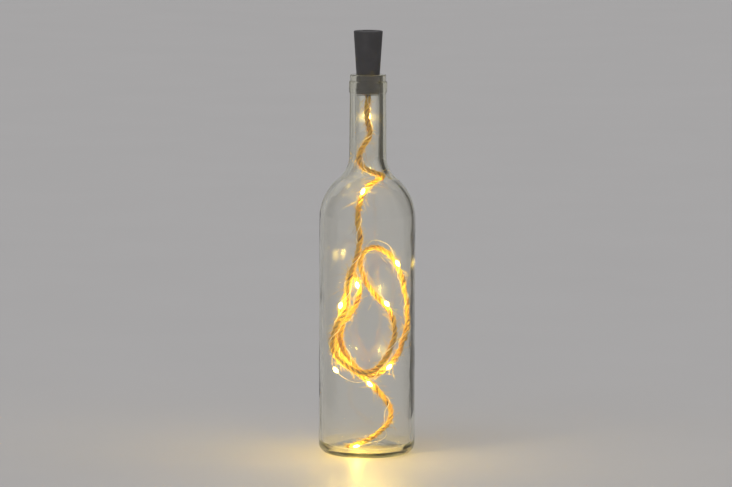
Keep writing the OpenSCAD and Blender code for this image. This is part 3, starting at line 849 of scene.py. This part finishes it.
class BOTTLELIGHT_OT_rope(bpy.types.Operator):
    """Twist the jute rope from its three strands, with its loose fibres"""

    bl_idname = "bottlelight.rope"
    bl_label = "Jute rope"

    def execute(self, context):
        rope = context.scene.bottlelight_rope
        path = smooth_path(ROUTE, ROPE_STEP)
        run = lengths(path)
        directions = central(path)
        u = carried(directions, (0, -1, 0))
        v = np.cross(directions, u)
        random = np.random.default_rng(rope.seed)
        sides = STRAND_SIDES
        strand_r = STRAND_R * rope.diameter
        off = STRAND_OFF * rope.diameter
        thick = self.wander(random, run, *THICKNESS_WANDER)
        around = np.arange(sides) / sides
        parts, runs, turns, tops = [], [], [], []
        for k in range(STRANDS):
            angle = 2 * np.pi * (run / rope.lay + k / STRANDS)
            angle = angle + self.wander(random, run, *ANGLE_WANDER)
            out = off * (1 + self.wander(random, run, *DISTANCE_WANDER))
            line = path + (out * np.cos(angle))[:, None] * u + (out * np.sin(angle))[:, None] * v
            # Yarns of the strand stand out as fine ridges that twist the other way
            ridges = np.cos(2 * np.pi * (YARNS * around[None, :] - run[:, None] / YARN_TURN))
            radius = strand_r * (1 + thick[:, None] + YARN_RIDGE * ridges)
            radius = radius * (1 + UNEVEN * random.standard_normal(radius.shape))
            parts.append(tube_mesh(line, radius, sides, u[0]))
            runs.append(np.repeat(run + k * PATTERN_SHIFT, sides))
            turns.append(np.tile(around * YARNS, len(run)) - np.repeat(run / YARN_TURN, sides))
            # How high each point stands, from the groove to the crown: it sets how much painted
            # groove shade lies there
            rings = parts[-1][0].reshape(len(run), sides, 3)
            height = np.linalg.norm(rings - path[:, None, :], axis=2) / rope.diameter
            tops.append(np.clip((height - GROOVE_R) / (CROWN_R - GROOVE_R), 0, 1).ravel())
        points, faces = joined(parts)
        material = jute(rope, "Jute Rope")
        piece = new_piece(
            "jute_rope", points, faces, material,
            {
                "run": np.concatenate(runs), "turn": np.concatenate(turns),
                "top": np.concatenate(tops),
            },
        )
        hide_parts("cork_rope", "neck_rope", "belly_rope")
        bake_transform(piece)
        fuzz = self.fuzz(rope, path, run, directions, u, v, random)
        return {"FINISHED"}

    def wander(self, random, run, span, amount):
        """A smooth random change along the rope, with knots a span apart."""
        knots = np.arange(0, run[-1] + 2 * span, span)
        values = random.standard_normal(len(knots)) * amount
        at_knots = run / span
        i = np.floor(at_knots).astype(int)
        f = at_knots - i
        f = f * f * (3 - 2 * f)
        return values[i] * (1 - f) + values[i + 1] * f

    def fuzz(self, rope, path, run, directions, u, v, random):
        """Loose fibres that stand off the rope, and a bunch of them that spreads from its cut end.
        """
        parts, runs, turns = [], [], []
        for n in range(rope.fibres):
            cut = n < CUT_FIBRES
            i = int(random.integers(FIBRE_LOW, len(path) - 1))
            if cut:
                i = len(path) - 1 - int(random.integers(0, CUT_ROWS))
            a = random.uniform(0, 2 * np.pi)
            out = math.cos(a) * u[i] + math.sin(a) * v[i]
            across = np.cross(directions[i], out)
            way = 1 if cut or random.random() < 0.6 else -1
            length = random.gamma(2.2, 0.0017) + 0.0011
            rise = random.uniform(0.15, 0.9)
            curl = random.uniform(-0.5, 0.5)
            start = path[i] + out * 0.42 * rope.diameter
            if cut:
                start = path[i] + out * 0.40 * rope.diameter * math.sqrt(random.random())
                rise = random.uniform(0.0, 0.5)
                length = random.uniform(0.0015, 0.0045)
            line = []
            for f in np.linspace(0, 1, FIBRE_RINGS):
                step = way * directions[i] * f * (1 - 0.25 * f) + out * rise * f * (1.25 - 0.25 * f)
                line.append(start + length * (step + across * curl * f * f))
            line = np.array(line)
            reach = np.hypot(line[:, 0], line[:, 1]) / inner_radius(line[:, 2])
            line[:, :2] /= np.maximum(1, reach)[:, None]
            line[:, 2] = np.maximum(line[:, 2], self.floor_height(line))
            thickness = random.uniform(0.07, 0.15) * MM
            parts.append(tube_mesh(line, thickness * FIBRE_TAPER, FIBRE_SIDES))
            # Each fibre takes its own place in the pattern
            runs.append(np.full(FIBRE_RINGS * FIBRE_SIDES, run[i] + n * 0.01))
            turns.append(np.full(FIBRE_RINGS * FIBRE_SIDES, n * PATTERN_SHIFT))
        points, faces = joined(parts)
        fuzz = new_piece(
            "rope_fuzz", points, faces, jute(rope, "Loose Jute", loose=True),
            {"run": np.concatenate(runs), "turn": np.concatenate(turns)},
        )
        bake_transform(fuzz)
        return fuzz

    def floor_height(self, line):
        """Height of the glass floor under points of a fibre, with a little room."""
        share = np.clip(np.hypot(line[:, 0], line[:, 1]) / FIBRE_FLOOR_R, 0, 1)
        return FLOOR_EDGE_Z + FIBRE_ROOM + (PUNT_H + BASE_T - FLOOR_EDGE_Z) * (1 - share**2)


# The wire's make-up, how its loops are eased, and the thin skin and tails of a drop
WIRE_STEP = 0.0008
EASING_PASSES = 40
FREE_OVER = 0.002
FREE_LEAST = 0.1
CORE_R = 0.28
CORE_SPACING = 1.02
CORE_SIDES = 8
DROP_TAIL = 0.0009
DROP_SKIN = 0.00042
DROP_ROWS = 33
DROP_FACETS = 32
RESIN = ((1.0, 0.9, 0.7), 0.15)


class BOTTLELIGHT_OT_wire(bpy.types.Operator):
    """Wind the two-core wire round the rope, with its lights"""

    bl_idname = "bottlelight.wire"
    bl_label = "Wire and lights"

    def execute(self, context):
        wire = context.scene.bottlelight_wire
        points, ends = wire_route()
        path = smooth_path(points, WIRE_STEP)
        path = eased(path, self.looseness(path, ends), EASING_PASSES)
        run = lengths(path)
        directions = central(path)
        first = np.cross(directions[0], (1.0, 0.0, 0.0))
        u = carried(directions, first)
        v = np.cross(directions, u)
        core_r = CORE_R * wire.diameter
        off = core_r * CORE_SPACING
        parts = []
        for k in (0, 1):
            angle = 2 * np.pi * (run / wire.twist + k / 2)
            line = path + off * (np.cos(angle)[:, None] * u + np.sin(angle)[:, None] * v)
            parts.append(tube_mesh(line, core_r, CORE_SIDES, u[0]))
        metal = drawn_metal(
            "Wire Metal", tuple(wire.metal), (0.85, 0.74, 0.5), 0.3, amount=0.3, shine=0.25,
        )
        mesh_points, faces = joined(parts)
        piece = new_piece("light_wire", mesh_points, faces, metal)
        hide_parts("cork_wire", "neck_wire", "belly_wire")
        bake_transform(piece)
        resin = glowing("Glowing Resin", *RESIN, wire)
        last_resin = glowing("Last Glowing Resin", *RESIN, wire, share=wire.last_share)
        for k, (a, b) in enumerate(ends):
            drop = self.drop(LIGHT_NAMES[k], a, b, last_resin if k == len(ends) - 1 else resin)
            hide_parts(LIGHT_NAMES[k])
            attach(drop, CORE if k == 0 else BOTTLE)
        paint(CHIP_NAMES, glowing("Light Chip", (0.95, 0.8, 0.4), 0.4, wire))
        return {"FINISHED"}

    def looseness(self, path, ends):
        """How free each point of the wire is: 0 at the rope and in the drops, 1 out in a loop."""
        rope = smooth_path(ROUTE, 0.001)
        away = np.array([np.linalg.norm(rope - point, axis=1).min() for point in path])
        free = np.clip((away - WIRE_OFF) / FREE_OVER, FREE_LEAST, 1)
        for a, b in ends:
            from_drop = np.linalg.norm(path - (a + b) / 2, axis=1)
            free *= np.clip((from_drop - DROP_L * 0.7) / FREE_OVER, 0, 1)
        return free

    def drop(self, name, a, b, material):
        """One drop: a bead of resin that thins out onto the wire at both ends."""
        half = DROP_L / 2
        tail = half + DROP_TAIL
        outline = [(0.0, -tail)]
        for z in np.linspace(-tail, tail, DROP_ROWS)[1:-1]:
            bead = DROP_D / 2 * math.sqrt(max(0.0, 1 - (z / half) ** 2))
            skin = DROP_SKIN * (1 - abs(z) / tail) ** 0.5
            outline.append((max(bead, skin), z))
        outline.append((0.0, tail))
        points, faces = lathe(outline, DROP_FACETS)
        along = Vector(unit(b - a))
        turn = along.to_track_quat("Z", "X").to_matrix()
        middle = (a + b) / 2
        points = points @ np.array(turn).T + middle
        return new_piece(name + "_resin", points, faces, material)


class BOTTLELIGHT_OT_bottle(bpy.types.Operator):
    """Blow the bottle"""

    bl_idname = "bottlelight.bottle"
    bl_label = "Bottle"

    def execute(self, context):
        glass = context.scene.bottlelight_glass
        points, faces = lathe(bottle_outline(glass), glass.facets)
        piece = new_piece("bottle_glass", points, faces, clear_glass(glass))
        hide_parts("glass_bottle")
        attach(piece, BOTTLE)
        return {"FINISHED"}


class BOTTLELIGHT_OT_cork(bpy.types.Operator):
    """Finish the cork, its case and the outlet bush"""

    bl_idname = "bottlelight.cork"
    bl_label = "Cork"

    def execute(self, context):
        cork = context.scene.bottlelight_cork
        shell = moulded("Cork Plastic", tuple(cork.shell), (0.075, 0.07, 0.072), 0.62, wear=0.35)
        case = moulded("Case Plastic", tuple(cork.case), (0.03, 0.03, 0.032), 0.45)
        rubber = moulded("Soft Rubber", (0.02, 0.019, 0.018), (0.05, 0.045, 0.04), 0.7)
        knob = moulded("Knob Plastic", (0.075, 0.075, 0.08), (0.14, 0.14, 0.15), 0.4)
        paint(["cork_shell"], shell)
        paint(["battery_case"], case)
        paint(["outlet_bush", "splice_sleeve"], rubber)
        paint(["switch_knob"], knob)
        return {"FINISHED"}


# Inner pieces: a material's name, its colour, its worn colour and its roughness, and the
# CAD nodes that have it
METALS = (
    ("Cell Steel", (0.66, 0.65, 0.62), (0.45, 0.42, 0.36), 0.25,
     ("battery_cell_1", "battery_cell_2", "battery_cell_3")),
    ("Contact Nickel", (0.74, 0.70, 0.60), (0.5, 0.42, 0.28), 0.3,
     ("contact_spring", "contact_negative", "contact_positive")),
    ("Switch Steel", (0.55, 0.55, 0.56), (0.36, 0.34, 0.32), 0.35, ("switch_housing",)),
    ("Pin Brass", (0.80, 0.62, 0.30), (0.5, 0.34, 0.14), 0.3, ("switch_pins",)),
)
PLASTICS = (
    ("Board Lacquer", (0.012, 0.10, 0.035), (0.03, 0.16, 0.06), 0.35, ("circuit_board",)),
    ("Component Black", (0.015, 0.015, 0.016), (0.04, 0.04, 0.04), 0.5, ("board_components",)),
    ("Red Lead", (0.45, 0.02, 0.015), (0.55, 0.08, 0.05), 0.4, ("lead_positive",)),
    ("Black Lead", (0.015, 0.015, 0.015), (0.05, 0.05, 0.05), 0.4, ("lead_negative",)),
)


class BOTTLELIGHT_OT_electrics(bpy.types.Operator):
    """Finish the batteries, contacts, board, switch and leads"""

    bl_idname = "bottlelight.electrics"
    bl_label = "Batteries and switch"

    def execute(self, context):
        for name, colour, tarnish, roughness, nodes in METALS:
            paint(nodes, drawn_metal(name, colour, tarnish, roughness))
        for name, colour, worn, roughness, nodes in PLASTICS:
            paint(nodes, moulded(name, colour, worn, roughness))
        return {"FINISHED"}


# Dark screens of the room, as the glass shows them: where each stands, and the half widths of
# its dark middle and of its soft edge, in degrees
RIGHT_SCREEN = (62.0, 18.0, 34.0)
LEFT_SCREEN = (-75.0, 7.0, 16.0)
SCREENS_ROUND = 8.0
SCREEN_EDGE = (-0.6, 0.3)

# The dark card: where it stands, its half width and its height, and where it fades out
CARD_WAY = math.radians(57.0)
CARD_AWAY = 0.2
CARD_HALF_W = 0.14
CARD_LOW_Z = 0.001
CARD_HIGH_Z = 0.38
CARD_FADE = (0.075, 0.135)
FLOOR_HALF = 12.0


class BOTTLELIGHT_OT_stage(bpy.types.Operator):
    """Lay the floor and set the lamps"""

    bl_idname = "bottlelight.stage"
    bl_label = "Stage"

    def execute(self, context):
        stage = context.scene.bottlelight_stage
        made = Shader("Floor", tuple(stage.floor), 0.45, Specular_IOR_Level=0.35)
        cloud = made.noise(made.place(), scale=6.0, detail=3.0)
        darker, paler = ((*[share * c for c in stage.floor], 1) for share in (0.97, 1.03))
        made.colour(made.blended(cloud, darker, paler))
        corners = [
            (FLOOR_HALF * x, FLOOR_HALF * y, 0) for x, y in ((-1, -1), (1, -1), (1, 1), (-1, 1))
        ]
        new_piece("floor", corners, [(0, 1, 2, 3)], made.material)
        self.dark_card()
        self.lamp("Key", (-0.55, -0.75, 1.0), width=48.0, strength=1.15)
        self.lamp("Fill", (0.9, -0.2, 0.7), width=60.0, strength=0.35)
        context.scene.world = self.room(stage)
        context.scene.view_settings.view_transform = "Standard"
        return {"FINISHED"}

    def dark_card(self):
        """A dark card behind on the right, which only the glass shows, as a line at its edge."""
        made = Shader("Card", (0.05, 0.05, 0.05), 0.9)
        across = made.node("SeparateXYZ", Vector=made.place()).outputs["X"]
        fades = made.ranged(made.maths("ABSOLUTE", across), *CARD_FADE, soft=True)
        made.mix_in(fades, made.node("BsdfTransparent"))
        corners = [
            (-CARD_HALF_W, 0, CARD_LOW_Z), (CARD_HALF_W, 0, CARD_LOW_Z),
            (CARD_HALF_W, 0, CARD_HIGH_Z), (-CARD_HALF_W, 0, CARD_HIGH_Z),
        ]
        card = new_piece("dark_card", corners, [(0, 1, 2, 3)], made.material)
        stand = (CARD_AWAY * math.sin(CARD_WAY), CARD_AWAY * math.cos(CARD_WAY), 0)
        card.matrix_world = Matrix.Translation(stand) @ Matrix.Rotation(-CARD_WAY, 4, "Z")
        card.visible_camera = False
        card.visible_diffuse = False
        card.visible_glossy = False
        card.visible_shadow = False

    def lamp(self, name, direction, width, strength):
        """A wide soft lamp, far away in a direction. Its width is in degrees."""
        data = bpy.data.lights.new(name, "SUN")
        data.energy = strength
        data.angle = math.radians(width)
        lamp = bpy.data.objects.new(name, data)
        lamp.matrix_world = Vector(direction).to_track_quat("Z", "Y").to_matrix().to_4x4()
        bpy.context.scene.collection.objects.link(lamp)
        # The glass shows the room's screens, and not the lamp's own disc
        unlit = bpy.data.collections.new(name + " leaves out")
        unlit.objects.link(bpy.data.objects["bottle_glass"])
        lamp.light_linking.receiver_collection = unlit
        unlit.collection_objects[0].light_linking.link_state = "EXCLUDE"

    def room(self, stage):
        """The room's soft light, and the pale room with its screens that glass and metal show."""
        world = bpy.data.worlds.new("Room")
        world.use_nodes = True
        made = Nodes(world.node_tree)
        light = next(n for n in made.tree.nodes if n.type == "BACKGROUND")
        out = next(n for n in made.tree.nodes if n.type == "OUTPUT_WORLD")
        made.feed(light.inputs["Color"], (1.0, 1.0, 1.0, 1))
        made.feed(light.inputs["Strength"], stage.room_light)
        # Screens stand round the room, with pale gaps between them
        way = made.node("SeparateXYZ", Vector=made.node("TexCoord").outputs["Generated"]).outputs
        angle = made.maths("ARCTAN2", way["X"], way["Y"])
        wave = made.maths("COSINE", made.maths("MULTIPLY", angle, SCREENS_ROUND))
        level = made.ranged(wave, *SCREEN_EDGE, to_low=stage.screen_level)
        # A wide dark one stands ahead on the right, and a narrow one on the left
        for screen, dark in ((RIGHT_SCREEN, stage.dark_level), (LEFT_SCREEN, stage.left_level)):
            middle, inner, outer = map(math.radians, screen)
            aside = made.maths("ABSOLUTE", made.maths("SUBTRACT", angle, middle))
            shade = made.ranged(aside, inner, outer, to_low=dark, soft=True)
            level = made.maths("MULTIPLY", level, shade)
        rays = made.node("LightPath").outputs
        camera = rays["Is Camera Ray"]
        through = made.maths("MAXIMUM", rays["Is Glossy Ray"], rays["Is Transmission Ray"])
        seen = made.node(
            "Background", Color=(*stage.backdrop, 1), Strength=made.maths("MAXIMUM", level, camera),
        )
        mix = made.either(
            made.maths("MAXIMUM", camera, through), light.outputs[0], seen.outputs[0],
        )
        made.feed(out.inputs["Surface"], mix)
        return world


STEPS = ("camera", "rope", "wire", "bottle", "cork", "electrics", "stage")


class BOTTLELIGHT_PT_panel(bpy.types.Panel):
    """Lists the pieces of the bottle light"""

    bl_idname = "BOTTLELIGHT_PT_panel"
    bl_label = "Bottle Light"
    bl_space_type = "VIEW_3D"
    bl_region_type = "UI"
    bl_category = "Bottle Light"

    def draw(self, context):
        for step in STEPS:
            self.layout.operator("bottlelight." + step)


CLASSES = (
    GlassSettings, RopeSettings, WireSettings, CorkSettings, StageSettings,
    BOTTLELIGHT_OT_camera, BOTTLELIGHT_OT_rope, BOTTLELIGHT_OT_wire, BOTTLELIGHT_OT_bottle,
    BOTTLELIGHT_OT_cork, BOTTLELIGHT_OT_electrics, BOTTLELIGHT_OT_stage, BOTTLELIGHT_PT_panel,
)
SETTINGS = {
    "bottlelight_glass": GlassSettings,
    "bottlelight_rope": RopeSettings,
    "bottlelight_wire": WireSettings,
    "bottlelight_cork": CorkSettings,
    "bottlelight_stage": StageSettings,
}


def register():
    for kind in CLASSES:
        bpy.utils.register_class(kind)
    for name, kind in SETTINGS.items():
        setattr(bpy.types.Scene, name, PointerProperty(type=kind))


def unregister():
    for name in SETTINGS:
        delattr(bpy.types.Scene, name)
    for kind in reversed(CLASSES):
        bpy.utils.unregister_class(kind)


def main():
    register()
    for step in STEPS:
        getattr(bpy.ops.bottlelight, step)()


if __name__ == "__main__":
    main()
